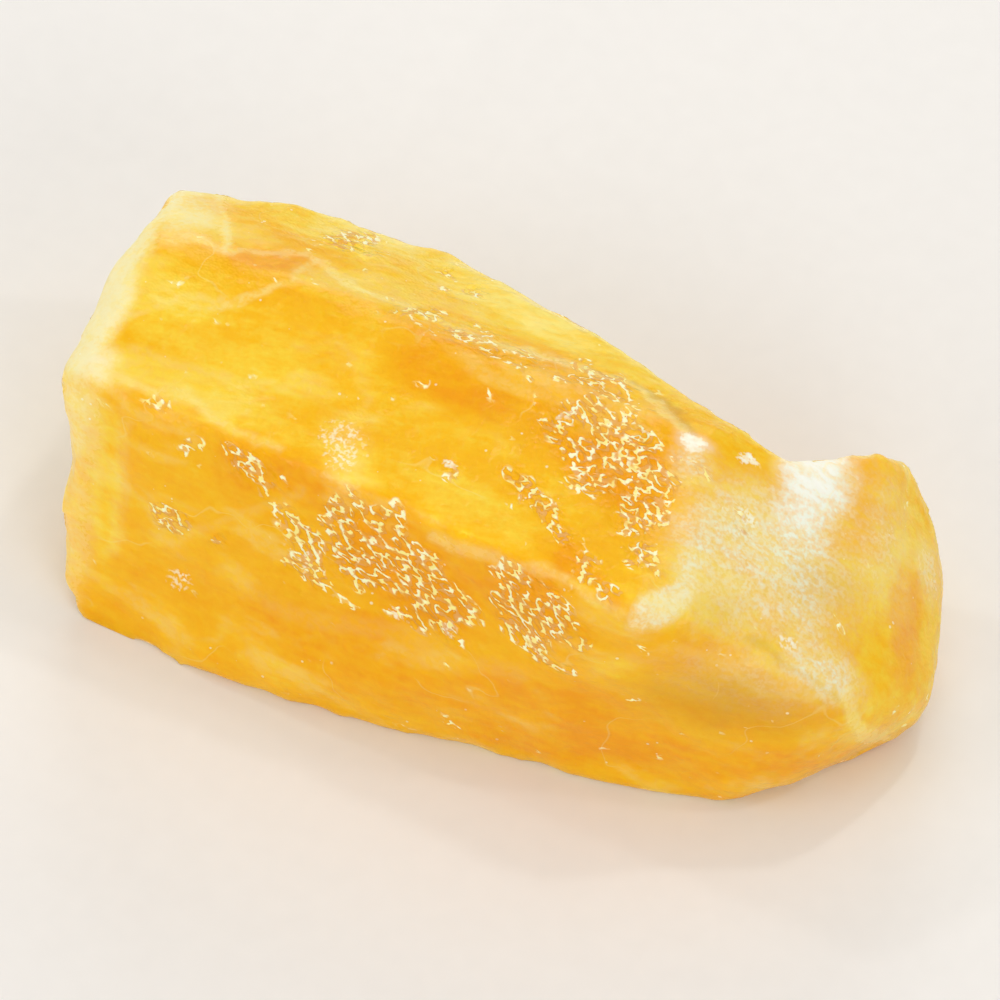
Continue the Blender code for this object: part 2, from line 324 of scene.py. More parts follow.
# Broad lines: thin and pale above the long ridge between the top and the front, and deep below it
# and below the ledge, where the deep amber is painted shade
PALE_SIDES = {
    "above_ridge": (((312, 310), (350, 326), (400, 350), (446, 376), (480, 386)), 9, 0.14),
}
SHADED_SIDES = {
    "below_ridge": (((308, 322), (350, 342), (400, 368), (446, 393), (476, 402)), 10, 0.09),
    "ledge": (((464, 352), (487, 376), (508, 406)), 5, 0.18),
}


def view_axes(azimuth, elevation):
    """Right, up and towards the camera, for a camera at this azimuth and elevation."""
    right = Vector((math.cos(azimuth), math.sin(azimuth), 0))
    back = Vector((
        math.sin(azimuth) * math.cos(elevation),
        -math.cos(azimuth) * math.cos(elevation),
        math.sin(elevation),
    ))
    return right, back.cross(right), back


RIGHT, UP, BACK = view_axes(VIEW_AZIMUTH, VIEW_ELEVATION)
ACROSS = (PICTURE_CENTRE[0] - PHOTO_ORIGIN[0]) * MM_PER_PIXEL * MM
RISE = (PHOTO_ORIGIN[1] - PICTURE_CENTRE[1]) * MM_PER_PIXEL * MM
VIEW_TARGET = RIGHT * ACROSS + UP * RISE

# The crystal steps that glitter run down to the right, in the photograph's view, and their edges
# are painted bright on the upper left, as painted highlights where they would catch the light. The
# fibres run nearly level, a little down to the right.
STEP_RUN = (RIGHT * 0.62 - UP * 0.78).normalized()
TOWARDS_LIGHT = (UP * 0.6 - RIGHT * 0.8).normalized()
FIBRE_RUN = (RIGHT * 0.95 - UP * 0.31).normalized()


def photo_pixels(points):
    """Where points in millimetres show in the photograph, as two arrays of pixels."""
    offset = points * MM - np.array(VIEW_TARGET)
    across, rise, depth_and_painted_light = (offset @ np.array(axis) for axis in (RIGHT, UP, BACK))
    nearer = VIEW_DISTANCE / (VIEW_DISTANCE - depth_and_painted_light)
    x = PICTURE_CENTRE[0] + across * nearer / (MM_PER_PIXEL * MM)
    y = PICTURE_CENTRE[1] - rise * nearer / (MM_PER_PIXEL * MM)
    return x, y


def smooth_step(low, high, value):
    share = np.clip((value - low) / (high - low), 0, 1)
    return share * share * (3 - 2 * share)


def noise_at(points, length, seed):
    """Smooth noise from -1 to 1, whose waves are about this many millimetres long."""
    shift = Vector([seed * step for step in SEED_STEPS])
    return np.array([noise.noise(Vector(point) / length + shift) for point in points])


def waves_at(points, waves):
    """Smooth noise of several lengths, added up."""
    return sum(amount * noise_at(points, length, seed) for length, seed, amount in waves)


def patches_at(points, patches, more=0.0):
    """Soft patches where smooth noise, with more added to it, is high."""
    length, seed, begins, whole, strength = patches
    return strength * smooth_step(begins, whole, noise_at(points, length, seed) + more)


def wander_at(points, seed):
    """How far the marks' edges wander at each point, in pixels.

    The long waves carry finer ones that are a third as long and half as strong.
    """
    finer = noise_at(points, WANDER_LENGTH / 3, seed + 1) / 2
    return (noise_at(points, WANDER_LENGTH, seed) + finer) * WANDER_PIXELS


def veils_at(points, direction):
    """Wisps inside the stone, drawn out along a direction and folded: from about -1 to 1."""
    along = points @ np.array(direction)
    squeezed = points - np.outer(along * (1 - 1 / VEIL_STRETCH), np.array(direction))
    folds = [noise_at(squeezed, VEIL_LENGTH, VEIL_FOLD_SEED + axis) for axis in range(3)]
    folded = squeezed + np.stack(folds, axis=1) * VEIL_FOLD
    octaves = [
        (VEIL_LENGTH / 2**octave, VEIL_SEED + octave, VEIL_FADE**octave)
        for octave in range(VEIL_OCTAVES)
    ]
    return waves_at(folded, octaves)


def flakes_at(points, length, seed):
    """Small flat facets, each tilted its own way: the height of each point on its facet."""
    shift = Vector([seed * step for step in FLAKE_SEED_STEPS])
    half = Vector((0.5, 0.5, 0.5))
    heights = []
    for point in points:
        place = Vector(point) / length + shift
        middle = noise.voronoi(place)[1][0]
        tilt = noise.cell_vector(middle * FLAKE_SHUFFLE) - half
        heights.append((place - middle).dot(tilt))
    return np.array(heights)


def terraces(field, levels, riser_share):
    """A smooth field turned into flat treads with short risers."""
    scaled = field * levels
    tread = np.floor(scaled)
    riser = np.clip((scaled - tread - 1 + riser_share) / riser_share, 0, 1)
    return (tread + riser) / levels


def oval(x, y, mark, fade=OVAL_FADE):
    """The strength of an oval mark: whole in its middle, and gone a little past its edge."""
    centre_x, centre_y, half_length, half_width, turn, strength = mark
    angle = math.radians(turn)
    along = (x - centre_x) * math.cos(angle) + (y - centre_y) * math.sin(angle)
    aside = (y - centre_y) * math.cos(angle) - (x - centre_x) * math.sin(angle)
    outward = np.hypot(along / half_length, aside / half_width)
    return strength * (1 - smooth_step(*fade, outward))


def haze(x, y, mark):
    """The strength of a soft oval, which fades all the way from its middle to its edge."""
    return oval(x, y, mark, HAZE_FADE)


def tongue(x, y, mark):
    """The strength of an oval that is even inside and ends at its edge."""
    return oval(x, y, mark, TONGUE_FADE)


def scattered(x, y, mark):
    """The strength of an oval patch that thins out well past its edge."""
    return oval(x, y, mark, SCATTER_FADE)


def line(x, y, mark):
    """The strength of a line mark: whole along its points, and gone one width away."""
    points, width, strength = mark
    nearest = np.full(x.shape, np.inf)
    for (start_x, start_y), (end_x, end_y) in zip(points, points[1:]):
        run_x, run_y = end_x - start_x, end_y - start_y
        share = ((x - start_x) * run_x + (y - start_y) * run_y) / (run_x**2 + run_y**2)
        share = np.clip(share, 0, 1)
        distance = np.hypot(x - start_x - share * run_x, y - start_y - share * run_y)
        nearest = np.minimum(nearest, distance)
    return strength * (1 - smooth_step(*LINE_FADE, nearest / width))


def joined(shape, x, y, marks):
    """The strongest of several marks at each point."""
    return np.max([shape(x, y, mark) for mark in marks.values()], axis=0)


def layered(shape, x, y, marks):
    """Several see-through marks over each other at each point."""
    clear = [1 - shape(x, y, mark) for mark in marks.values()]
    return 1 - np.prod(clear, axis=0)


class Surface:
    """A mesh as arrays, in millimetres, with the averages over neighbours that the relief needs."""

    def __init__(self, mesh):
        self.mesh = mesh
        self.count = len(mesh.vertices)
        places = np.empty(self.count * 3)
        mesh.vertices.foreach_get("co", places)
        self.points = places.reshape(-1, 3) / MM
        ends = np.empty(len(mesh.edges) * 2, int)
        mesh.edges.foreach_get("vertices", ends)
        self.first, self.second = ends.reshape(-1, 2).T
        self.around = np.bincount(self.first, minlength=self.count)
        self.around += np.bincount(self.second, minlength=self.count)

    def neighbour_mean(self, values):
        columns = values.reshape(self.count, -1)
        total = np.zeros_like(columns)
        for column in range(columns.shape[1]):
            total[:, column] = np.bincount(self.first, columns[self.second, column], self.count)
            total[:, column] += np.bincount(self.second, columns[self.first, column], self.count)
        return (total / self.around[:, None]).reshape(values.shape)

    def blurred(self, values, rounds):
        for _ in range(rounds):
            values = (values + self.neighbour_mean(values)) / 2
        return values

    def normals(self):
        found = np.empty(self.count * 3, np.float32)
        self.mesh.vertices.foreach_get("normal", found)
        return found.reshape(-1, 3).astype(float)

    def store(self):
        self.mesh.vertices.foreach_set("co", (self.points * MM).ravel())
        self.mesh.update()

    def bulge(self, rounds):
        """How far each point stands above its surroundings, in millimetres: edges are positive."""
        around = self.blurred(self.points, rounds)
        return ((self.points - around) * self.normals()).sum(axis=1)

    def keep(self, name, values):
        attribute = self.mesh.attributes.new(name, "FLOAT", "POINT")
        attribute.data.foreach_set("value", np.clip(values, 0, 1).astype(np.float32))


def fine_copy(source, name):
    """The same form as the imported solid, with small even faces."""
    copy = bpy.data.objects.new(name, source.data.copy())
    bpy.context.scene.collection.objects.link(copy)
    remesh = copy.modifiers.new("fine_faces", "REMESH")
    remesh.mode = "VOXEL"
    remesh.voxel_size = FINE_VOXEL * MM
    graph = bpy.context.evaluated_depsgraph_get()
    mesh = bpy.data.meshes.new_from_object(copy.evaluated_get(graph))
    copy.modifiers.clear()
    copy.data = mesh
    mesh.name = name
    mesh.materials.clear()
    mesh.shade_smooth()
    return copy


def where_seen(seen, shown, hidden):
    """Shown where the photograph shows the surface, and hidden where it doesn't."""
    return hidden + (shown - hidden) * seen


def depth_and_painted_light_at(points, normals, x, y, seen):
    """How deep the amber looks at each point, before its veils and its frost, with painted shade on
    front faces, below the ridge and near the floor, and painted light on faces that look back.
    """
    top = smooth_step(*TOP_NORMAL, normals[:, 2])
    front = smooth_step(*FRONT_NORMAL, -normals[:, 1]) * (1 - top)
    behind = smooth_step(*FRONT_NORMAL, normals[:, 1]) * (1 - top)
    # Deeper on front faces as painted shade, and paler on faces that look back as painted light from
    # behind
    shown = SIDE_DEPTH + MORE_ON_TOP * top + PAINTED_SHADE_ON_FRONT * front - PAINTED_BACKLIGHT_BEHIND * behind
    shown += joined(oval, x, y, DEEP_AND_SHADED_ZONES) - joined(oval, x, y, PALE_AND_BACKLIT_ZONES)
    shown += joined(line, x, y, SHADED_SIDES) - joined(line, x, y, PALE_SIDES)
    hidden = HIDDEN_DEPTH + waves_at(points, HIDDEN_DEPTH_WAVES)
    return where_seen(seen, shown, hidden) + waves_at(points, DEPTH_WAVES)


def veins_at(points, veils, x, y, seen):
    """Pale veins, from the photograph and made up, and wisps where the veils are thinnest."""
    shown = joined(line, x, y, VEINS) * seen
    off_vein = abs(noise_at(points, HIDDEN_VEIN_LENGTH, HIDDEN_VEIN_SEED))
    hidden = HIDDEN_VEINS * (1 - smooth_step(0.0, HIDDEN_VEIN_WIDTH, off_vein)) * (1 - seen)
    wisps = WISPS * smooth_step(*WISP_LEVELS, -veils)
    return np.maximum(np.maximum(shown, hidden), wisps)


def marks_at(surface):
    """Each kind of mark at each point, and how well the photograph shows each point.

    The marks come from the photograph where it shows the surface, and are made up elsewhere.
    """
    points, normals = surface.points, surface.blurred(surface.normals(), NORMAL_ROUNDS)
    seen = smooth_step(*SEEN_NORMAL, normals @ np.array(BACK))
    x, y = photo_pixels(points)
    x += wander_at(points, seed=1)
    y += wander_at(points, seed=3)
    veils = veils_at(points, FIBRE_RUN)

    cream = layered(haze, x, y, CREAM_CLOUDS)
    frost = np.maximum(cream, joined(line, x, y, FROST_LINES)) * seen
    depth_and_painted_light = depth_and_painted_light_at(points, normals, x, y, seen) + VEILS_IN_DEPTH * veils

    seen_cloud = np.maximum(layered(haze, x, y, CLOUDS), joined(tongue, x, y, TONGUES))
    hidden_cloud = patches_at(points, HIDDEN_CLOUDS, VEILS_IN_HAZE * veils)
    # The chips mark also carries a few painted glints
    seen_chips = joined(oval, x, y, CHIPS_AND_GLINTS) * seen
    hidden_chips = patches_at(points, HIDDEN_CHIPS) * (1 - seen)
    seen_glitter = joined(scattered, x, y, GLITTER_PATCHES)
    glitter = where_seen(seen, seen_glitter, patches_at(points, HIDDEN_GLITTER))
    glitter += waves_at(points, GLITTER_WAVES)
    # Dull, brownish thick parts, partly painted shade, and dull lines
    dull_and_shaded = np.maximum(layered(haze, x, y, DULL_AND_SHADED_ZONES), joined(line, x, y, DULL_LINES))
    marks = {
        "depth_and_painted_light": depth_and_painted_light - THIN_AT_FROST * frost,
        "cloud": where_seen(seen, seen_cloud, hidden_cloud),
        "chips": np.maximum(seen_chips, hidden_chips),
        "glitter": smooth_step(*GLITTER_LEVELS, glitter),
        "frost": frost,
        "dull_and_shaded": dull_and_shaded * seen,
        "white": layered(haze, x, y, WHITE_CLOUDS) * seen,
        "vein": veins_at(points, veils, x, y, seen),
        "crumbs": patches_at(points, CRUMB_DRIFTS),
        "crack_side": MIDDLE + waves_at(points, CRACK_WAVES),
        "crack_reach": patches_at(points, CRACK_STRETCHES),
    }
    return marks, seen


def carve(surface, glitter):
    """Cuts the fine relief into the surface, and says how sharp an edge is at each point."""
    surface.points = surface.blurred(surface.points, SMOOTHING_ROUNDS)
    surface.store()
    points, normals = surface.points, surface.normals()
    sharp = smooth_step(*SHARP_RISE, surface.bulge(SURROUNDINGS_ROUNDS))

    treads = terraces(noise_at(points, TERRACE_LENGTH, seed=11), TERRACE_LEVELS, TERRACE_RISER)
    steps = treads * TERRACE_HEIGHT
    flakes = flakes_at(points, FLAKE_LENGTH, seed=12) * FLAKE_HEIGHT
    grain = noise_at(points, GRAIN_LENGTH, seed=13) * GRAIN_HEIGHT
    sparkle = flakes_at(points, GLITTER_LENGTH, seed=14) * GLITTER_HEIGHT * glitter
    chipping = smooth_step(*CHIP_LEVELS, noise_at(points, CHIP_LENGTH, seed=15))
    chips = chipping * CHIP_DEPTH * sharp

    height = steps + flakes + grain + sparkle - chips
    above_base = smooth_step(0, BASE_FADE, points[:, 2])
    surface.points = points + normals * (height * above_base)[:, None]
    surface.points[:, 2] = np.maximum(surface.points[:, 2], 0)
    surface.store()
    return sharp


def fit_inside(surface, low, high):
    """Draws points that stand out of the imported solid's box back onto it."""
    for axis in range(3):
        surface.points[:, axis] = np.clip(surface.points[:, axis], low[axis] / MM, high[axis] / MM)
    surface.store()


class Nodes:
    """A material's node tree, with short calls for the nodes that are used here."""

    # A Mix node has several sockets of the same name, so those for colours go by their numbers
    MIX_SHARE, MIX_FIRST, MIX_SECOND, MIX_RESULT = 0, 6, 7, 2

    def __init__(self, name):
        self.material = bpy.data.materials.new(name)
        self.material.use_nodes = True
        self.tree = self.material.node_tree
        self.tree.nodes.clear()

    def feed(self, socket, value):
        if isinstance(value, bpy.types.NodeSocket):
            self.tree.links.new(value, socket)
        else:
            socket.default_value = value

    def add(self, kind, inputs, **settings):
        node = self.tree.nodes.new(kind)
        for name, value in settings.items():
            setattr(node, name, value)
        for name, value in inputs.items():
            self.feed(node.inputs[name], value)
        return node

    def attribute(self, name):
        return self.add("ShaderNodeAttribute", {}, attribute_name=name).outputs["Fac"]

    def place(self):
        return self.add("ShaderNodeTexCoord", {}).outputs["Object"]

    def calc(self, operation, first, second=0.0):
        node = self.add("ShaderNodeMath", {}, operation=operation)
        self.feed(node.inputs[0], first)
        self.feed(node.inputs[1], second)
        return node.outputs[0]

    def times(self, first, second):
        return self.calc("MULTIPLY", first, second)

    def plus(self, first, second):
        return self.calc("ADD", first, second)

    def minus(self, first, second):
        return self.calc("SUBTRACT", first, second)

    def apart(self, first, second):
        return self.calc("ABSOLUTE", self.minus(first, second))

    def larger(self, first, second):
        return self.calc("MAXIMUM", first, second)

    def vector(self, operation, first, second, result="Vector"):
        node = self.add("ShaderNodeVectorMath", {}, operation=operation)
        self.feed(node.inputs[0], first)
        self.feed(node.inputs[1], second)
        return node.outputs[result]

    def step(self, value, low, high, made_low=0.0, made_high=1.0):
        """Goes smoothly from made_low to made_high as the value goes from low to high."""
        inputs = {
            "Value": value,
            "From Min": low,
            "From Max": high,
            "To Min": made_low,
            "To Max": made_high,
        }
        node = self.add("ShaderNodeMapRange", inputs, interpolation_type="SMOOTHSTEP")
        return node.outputs["Result"]

    def mix(self, share, first, second):
        node = self.add("ShaderNodeMix", {}, data_type="RGBA", clamp_factor=True)
        self.feed(node.inputs[self.MIX_SHARE], share)
        self.feed(node.inputs[self.MIX_FIRST], first)
        self.feed(node.inputs[self.MIX_SECOND], second)
        return node.outputs[self.MIX_RESULT]

    def noise(self, place, length, detail=0.0, roughness=0.5):
        """Noise from 0 to 1 with waves of this many millimetres."""
        inputs = {
            "Vector": place,
            "Scale": 1 / (length * MM),
            "Detail": detail,
            "Roughness": roughness,
        }
        return self.add("ShaderNodeTexNoise", inputs).outputs["Fac"]

    def drawn_out(self, place, direction, times):
        """The place squeezed along a direction, so that a texture there looks drawn out by times."""
        along = self.vector("DOT_PRODUCT", place, direction, "Value")
        squeeze = self.times(along, 1 / times - 1)
        inputs = {"Vector": direction, "Scale": squeeze}
        shift = self.add("ShaderNodeVectorMath", inputs, operation="SCALE").outputs["Vector"]
        return self.vector("ADD", place, shift)

    def bent(self, place, length, detail, shift):
        """The place moved by up to about this many millimetres, so that a texture there bends."""
        inputs = {"Vector": place, "Scale": 1 / (length * MM), "Detail": detail}
        cause = self.add("ShaderNodeTexNoise", inputs).outputs["Color"]
        return self.vector("ADD", self.vector("MULTIPLY", cause, (shift * MM,) * 3), place)

    def ramp(self, share, stops):
        node = self.add("ShaderNodeValToRGB", {"Fac": share})
        elements = node.color_ramp.elements
        while len(elements) < len(stops):
            elements.new(0.5)
        for element, (position, colour) in zip(elements, stops):
            element.position = position
            element.color = (*colour, 1)
        return node.outputs["Color"]

    def bump(self, height):
        """The normal of a surface with this height, in millimetres."""
        inputs = {"Height": height, "Distance": MM, "Strength": 1.0}
        return self.add("ShaderNodeBump", inputs).outputs["Normal"]


# Colours of the stone, from its thin pale parts to its deepest amber, of what lies on it, and of the
# painted shade and painted highlights on it
DEPTH_COLOURS = (
    (0.0, (0.97, 0.78, 0.17)),
    (0.3, (0.955, 0.64, 0.040)),
    (0.55, (0.94, 0.50, 0.006)),
    (0.8, (0.92, 0.42, 0.001)),
    (1.0, (0.90, 0.35, 0.0)),
)
CLOUD_COLOUR = (0.89, 0.91, 0.70, 1)
WHITE_COLOUR = (1.0, 1.0, 0.90, 1)
# Dull brown of thick stone, partly painted shade
DULL_SHADE_COLOUR = (0.55, 0.28, 0.015, 1)
FROST_COLOUR = (0.97, 0.88, 0.50, 1)
VEIN_COLOUR = (0.97, 0.79, 0.28, 1)
CHIP_COLOUR = (1.0, 0.98, 0.80, 1)
# Painted highlights on the curls' rims, white and golden, and the painted shade beside them
GLINT_HIGHLIGHT_COLOUR = (1.0, 0.97, 0.62, 1)
GOLD_GLINT_COLOUR = (1.0, 0.85, 0.28, 1)
CURL_SHADE_COLOUR = (0.76, 0.26, 0.0, 1)

# Textures: length of the waves in millimetres, octaves above the first, and their roughness. The
# fibres are drawn out FIBRE_STRETCH times.
FINE_TEXTURE = (0.55, 2.0, 0.65)
CRUMBLY_TEXTURE = (0.24, 1.0, 0.6)
FIBRE_TEXTURE = (0.5, 2.0, 0.6)
FIBRE_STRETCH = 4.0
PAPER_TEXTURE = (1.5, 1.0, 0.6)

# What a texture or a mask does: two of its values, and what it is made into at each, which is 0
# and 1 where nothing is said
MOTTLE = (0.36, 0.64, 0.56, 1.30)
SPECKLE = (0.32, 0.68, 0.66, 1.34)
VEIN_MOTTLE = (0.35, 0.6, 0.3, 1.0)
FROST_MOTTLE = (0.75, 1.2, 0.5, 1.0)
CHIP_RAGGEDNESS = (0.0, 0.3, 0.0, 2.0)
CHIP_EDGE = (0.2, 0.65)
CHIP_STRENGTH = (0.0, 1.0, 0.35, 1.0)
GOLD_SHARE = (0.42, 0.58)

# How strongly the grain changes the depth of the amber, and how strongly each of the others shows
# where it is whole
DEPTH_GRAIN = 0.8
DULL_SHADE_SHARE = 0.6
CRACK_SHARE = 0.25
CRUMB_SHARE = 0.5
CURL_SHADE_SHARE = 0.75

# Glittering curls, in millimetres: the waves that shape them, how far they bend, how far towards the
# light their slope is measured, and the waves in which they come and go. They bend in waves of this
# length, with this many octaves above the first, and are drawn out CURL_STRETCH times. Their rims
# that face the light are painted highlights, and the dark beside them is painted shade.
CURL_LENGTH = 0.31
CURL_BEND = 0.17
CURL_SLOPE_REACH = CURL_LENGTH / 4
CURL_GROUP_LENGTH = CURL_LENGTH * 2.5
CURL_BEND_WAVES = (CURL_LENGTH * 0.7, 2.0)
CURL_STRETCH = 1.8

# A curl's rim on the noise that shapes it: its height there, half its width, how softly it ends,
# and how far the painted shade beside it reaches
CURL_RIM = 0.545
CURL_HALF_WIDTH = 0.103
CURL_SOFTNESS = 0.015
CURL_SHADE_REACH = 0.07

# A curl is there by chance and by GLITTER_IN_CHANCE of the glitter, from the first of these levels
# to the second. CURL_FACING paints the side that faces the light bright, as a painted highlight, and
# the other faint.
GLITTER_IN_CHANCE = 0.55
CURL_LEVELS = (0.78, 0.88)
CURL_FACING = (-0.03, 0.05, 0.15, 1.0)

# Loose crumbs: how far apart in millimetres, their half width in shares of that, which is nothing
# in the cells below the first chance, and how softly they end
CRUMB_SPACING = 0.5
CRUMB_SIZE = (0.6, 1.0, 0.0, 0.2)
CRUMB_SOFTNESS = 0.07

# How far from its middle the crack_side mask still shows a healed crack
CRACK_HALF_WIDTH = 0.011

# Clear amber lets light inside and is glossy, and what covers it does less so: from bare, 0, to
# wholly covered, 1. Haze covers it by this share, and glitter makes it glossier. LIGHT_REACH_MM is
# how far red, green and blue light spread inside.
LIGHT_INSIDE = (0.0, 1.0, 0.75, 0.08)
ROUGHNESS = (0.0, 1.0, 0.26, 0.5)
HAZE_COVER = 0.6
GLITTER_GLOSS = 0.12
REFRACTION = 1.49
SPECULAR_LEVEL = 0.2
LIGHT_REACH_MM = (1.9, 1.45, 0.5)

# Bumps that are too small for the mesh, in millimetres
FINE_BUMP, CURL_BUMP = 0.07, 0.25


def curls(nodes, run, glitter):
    """Tiny curled steps: painted highlights on their edges, painted shade beside them, and a height.

    Each is the rim of a small swelling, painted bright on the side that faces the light and faint on
    the other, and there are fewer of them where the glitter thins out.
    """
    bent = nodes.bent(run, *CURL_BEND_WAVES, CURL_BEND)
    height = nodes.noise(bent, CURL_LENGTH)
    towards_light = nodes.vector("ADD", bent, TOWARDS_LIGHT * CURL_SLOPE_REACH * MM)
    slope = nodes.minus(height, nodes.noise(towards_light, CURL_LENGTH))
    off_rim = nodes.apart(height, CURL_RIM)
    chance = nodes.noise(run, CURL_GROUP_LENGTH)
    there = nodes.plus(nodes.times(glitter, GLITTER_IN_CHANCE), chance)
    there = nodes.step(there, *CURL_LEVELS)
    # The bright side of each rim is a painted highlight, and the dark beside it painted shade
    bright = nodes.times(there, nodes.step(slope, *CURL_FACING))
    outer, inner = CURL_HALF_WIDTH + CURL_SOFTNESS, CURL_HALF_WIDTH - CURL_SOFTNESS
    lit = nodes.times(bright, nodes.step(off_rim, outer, inner))
    curl_shade = nodes.step(off_rim, CURL_HALF_WIDTH + CURL_SHADE_REACH, CURL_HALF_WIDTH)
    return lit, nodes.times(there, curl_shade), height


def crumbs(nodes, place):
    """Tiny pale grains of several sizes, gathered in loose drifts."""
    inputs = {"Vector": place, "Scale": 1 / (CRUMB_SPACING * MM)}
    cells = nodes.add("ShaderNodeTexVoronoi", inputs).outputs
    chance = nodes.add("ShaderNodeSeparateColor", {"Color": cells["Color"]}).outputs["Red"]
    size = nodes.step(chance, *CRUMB_SIZE)
    dots = nodes.step(nodes.minus(size, cells["Distance"]), 0.0, CRUMB_SOFTNESS)
    return nodes.times(dots, nodes.attribute("crumbs"))


def healed_cracks(nodes):
    """Thin pale lines where old breaks run through the stone."""
    off_crack = nodes.apart(nodes.attribute("crack_side"), MIDDLE)
    return nodes.times(nodes.step(off_crack, CRACK_HALF_WIDTH, 0.0), nodes.attribute("crack_reach"))


def chipped(nodes, place, crumbly, mottle):
    """How pale the stone is from its ragged chips, the painted glints among them, and its loose
    crumbs.
    """
    chips = nodes.attribute("chips")
    ragged = nodes.times(nodes.minus(crumbly, MIDDLE), nodes.step(chips, *CHIP_RAGGEDNESS))
    share = nodes.step(nodes.plus(chips, ragged), *CHIP_EDGE)
    share = nodes.times(share, nodes.times(nodes.step(chips, *CHIP_STRENGTH), mottle))
    return nodes.larger(share, nodes.times(crumbs(nodes, place), CRUMB_SHARE))


def calcite_material():
    """Amber under a glassy surface, with haze inside, and chips, frost and curls on it, with painted
    highlights on the curls, painted shade beside them, and painted shade in thick low parts.
    """
    nodes = Nodes("calcite")
    place = nodes.place()
    glitter = nodes.attribute("glitter")
    run = nodes.drawn_out(place, STEP_RUN, CURL_STRETCH)
    lit, curl_shade, curl_height = curls(nodes, run, glitter)

    fine = nodes.noise(place, *FINE_TEXTURE)
    crumbly = nodes.noise(place, *CRUMBLY_TEXTURE)
    fibres = nodes.noise(nodes.drawn_out(place, FIBRE_RUN, FIBRE_STRETCH), *FIBRE_TEXTURE)
    texture = nodes.times(nodes.plus(fine, fibres), 0.5)
    mottle = nodes.step(texture, *MOTTLE)

    grain = nodes.times(nodes.minus(texture, MIDDLE), DEPTH_GRAIN)
    colour = nodes.ramp(nodes.plus(nodes.attribute("depth_and_painted_light"), grain), DEPTH_COLOURS)
    speckled = nodes.times(mottle, nodes.step(crumbly, *SPECKLE))
    cloud_share = nodes.times(nodes.attribute("cloud"), speckled)
    colour = nodes.mix(cloud_share, colour, CLOUD_COLOUR)
    # Dull, brownish thick stone, partly painted shade on the lobe, and dull lines
    colour = nodes.mix(nodes.times(nodes.attribute("dull_and_shaded"), DULL_SHADE_SHARE), colour, DULL_SHADE_COLOUR)
    colour = nodes.mix(nodes.times(nodes.attribute("white"), mottle), colour, WHITE_COLOUR)
    vein_share = nodes.times(nodes.attribute("vein"), nodes.step(fine, *VEIN_MOTTLE))
    vein_share = nodes.larger(vein_share, nodes.times(healed_cracks(nodes), CRACK_SHARE))
    colour = nodes.mix(vein_share, colour, VEIN_COLOUR)
    frosting = nodes.step(nodes.plus(fine, crumbly), *FROST_MOTTLE)
    frost_share = nodes.times(nodes.attribute("frost"), frosting)
    colour = nodes.mix(frost_share, colour, FROST_COLOUR)
    chip_share = chipped(nodes, place, crumbly, mottle)
    colour = nodes.mix(chip_share, colour, CHIP_COLOUR)
    # Painted shade beside the curls, then painted highlights, white and golden, on their rims
    curl_shade_share = nodes.times(curl_shade, nodes.times(glitter, CURL_SHADE_SHARE))
    colour = nodes.mix(curl_shade_share, colour, CURL_SHADE_COLOUR)
    spark = nodes.mix(nodes.step(fine, *GOLD_SHARE), GLINT_HIGHLIGHT_COLOUR, GOLD_GLINT_COLOUR)
    colour = nodes.mix(lit, colour, spark)

    # Haze, frost, chips and the curls' painted highlights count as covering
    covered = nodes.larger(nodes.times(cloud_share, HAZE_COVER), frost_share)
    covered = nodes.larger(covered, nodes.larger(lit, chip_share))
    rough = nodes.minus(nodes.step(covered, *ROUGHNESS), nodes.times(glitter, GLITTER_GLOSS))
    facets = nodes.times(nodes.minus(curl_height, MIDDLE), nodes.times(glitter, CURL_BUMP))
    height = nodes.plus(nodes.times(fine, FINE_BUMP), facets)

    shader = nodes.add(
        "ShaderNodeBsdfPrincipled",
        {
            "Base Color": colour,
            "Roughness": rough,
            "Normal": nodes.bump(height),
            "IOR": REFRACTION,
            "Specular IOR Level": SPECULAR_LEVEL,
            "Subsurface Weight": nodes.step(covered, *LIGHT_INSIDE),
            "Subsurface Radius": LIGHT_REACH_MM,
            "Subsurface Scale": MM,
        },
        subsurface_method="BURLEY",
    )
    nodes.add("ShaderNodeOutputMaterial", {"Surface": shader.outputs["BSDF"]})
    return nodes.material


# The floor of the studio
PAPER_COLOURS = ((0.87, 0.85, 0.82, 1), (0.90, 0.88, 0.85, 1))
PAPER_ROUGHNESS = 0.8
FLOOR_HALF_WIDTH = 2000 * MM


def floor_material():
    """Matt paper, nearly white, with a faint fibre grain."""
    nodes = Nodes("studio_paper")
    colour = nodes.mix(nodes.noise(nodes.place(), *PAPER_TEXTURE), *PAPER_COLOURS)
    inputs = {"Base Color": colour, "Roughness": PAPER_ROUGHNESS}
    shader = nodes.add("ShaderNodeBsdfPrincipled", inputs)
    nodes.add("ShaderNodeOutputMaterial", {"Surface": shader.outputs["BSDF"]})
    return nodes.material


def make_floor():
    half = FLOOR_HALF_WIDTH
    mesh = bpy.data.meshes.new("studio_floor")
    corners = [(-half, -half, 0), (half, -half, 0), (half, half, 0), (-half, half, 0)]
    mesh.from_pydata(corners, [], [(0, 1, 2, 3)])
    mesh.materials.append(floor_material())
    floor = bpy.data.objects.new("studio_floor", mesh)
    bpy.context.scene.collection.objects.link(floor)


def make_camera():
    data = bpy.data.cameras.new("photo_view")
    data.sensor_width = SENSOR_WIDTH
    data.lens = SENSOR_WIDTH * VIEW_DISTANCE / PICTURE_WIDTH
    data.clip_start = NEAR_CLIP
    data.clip_end = FAR_CLIP
    camera = bpy.data.objects.new("photo_view", data)
    camera.location = VIEW_TARGET + BACK * VIEW_DISTANCE
    camera.rotation_euler = BACK.to_track_quat("Z", "Y").to_euler()
    bpy.context.scene.collection.objects.link(camera)
    bpy.context.scene.camera = camera


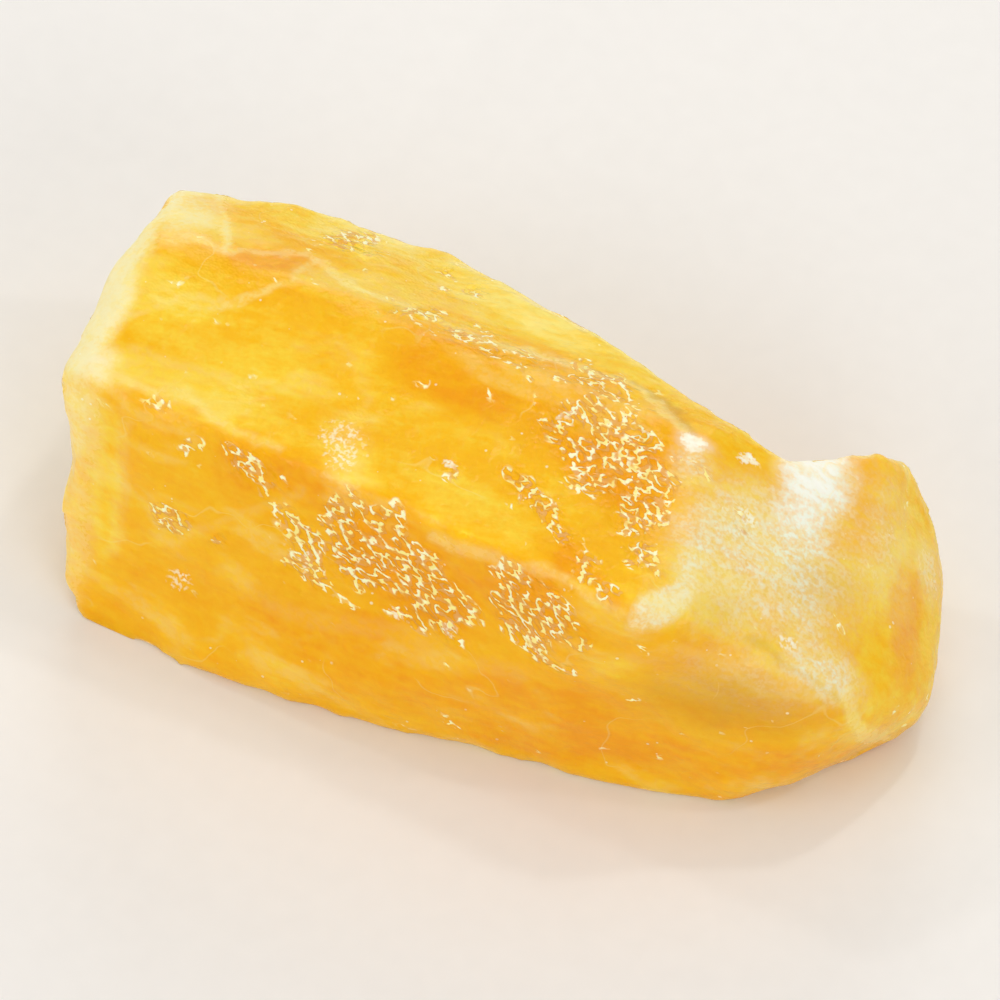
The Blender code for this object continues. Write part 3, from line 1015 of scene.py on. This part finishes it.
# Studio lights: azimuth and elevation in degrees, distance and size in millimetres, radiance
LIGHTS = {
    "overhead": (150, 78, 260, 260, 0.68),
    "behind_left": (205, 28, 240, 140, 2.4),
    "front_right": (50, 30, 320, 180, 2.7),
    "front_left": (-45, 25, 320, 180, 2.4),
    "glint_high": (165, 68, 260, 16, 75.0),
    "glint_right": (110, 50, 260, 14, 75.0),
    "glint_left": (260, 48, 260, 14, 75.0),
    "glint_front": (-15, 12, 300, 20, 60.0),
}
WORLD_COLOUR = (1.0, 0.975, 0.94, 1)
WORLD_STRENGTH = 0.465


def make_lights():
    """Disks that face the chunk, each with the power that its radiance and its size make."""
    for name, (azimuth, elevation, distance, size, radiance) in LIGHTS.items():
        towards = view_axes(math.radians(azimuth), math.radians(elevation))[2]
        data = bpy.data.lights.new(name, "AREA")
        data.shape = "DISK"
        data.size = size * MM
        data.energy = radiance * math.pi * math.pi * (size * MM / 2) ** 2
        light = bpy.data.objects.new(name, data)
        light.location = towards * distance * MM
        light.rotation_euler = towards.to_track_quat("Z", "Y").to_euler()
        bpy.context.scene.collection.objects.link(light)


def make_world():
    world = bpy.data.worlds.new("studio_surround")
    world.use_nodes = True
    background = world.node_tree.nodes["Background"]
    background.inputs["Color"].default_value = WORLD_COLOUR
    background.inputs["Strength"].default_value = WORLD_STRENGTH
    bpy.context.scene.world = world
    bpy.context.scene.view_settings.view_transform = "Standard"


def make_chunk(frame, low, high):
    chunk = fine_copy(frame["nodes"][NODE], "calcite_surface")
    surface = Surface(chunk.data)
    marks, seen = marks_at(surface)
    sharp = carve(surface, marks["glitter"])
    fit_inside(surface, low, high)
    edge_frost = where_seen(seen, FROST_ON_SEEN_EDGES, FROST_ON_EDGES)
    edge_frost *= sharp * patches_at(surface.points, EDGE_FROST_PATCHES)
    marks["frost"] = np.maximum(marks["frost"], edge_frost)
    for name, values in marks.items():
        surface.keep(name, values)
    chunk.data.materials.append(calcite_material())
    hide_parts(NODE)
    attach(chunk, "root")


def main():
    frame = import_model()
    cad_low, cad_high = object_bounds()
    make_camera()
    make_floor()
    make_lights()
    make_world()
    make_chunk(frame, cad_low, cad_high)


main()
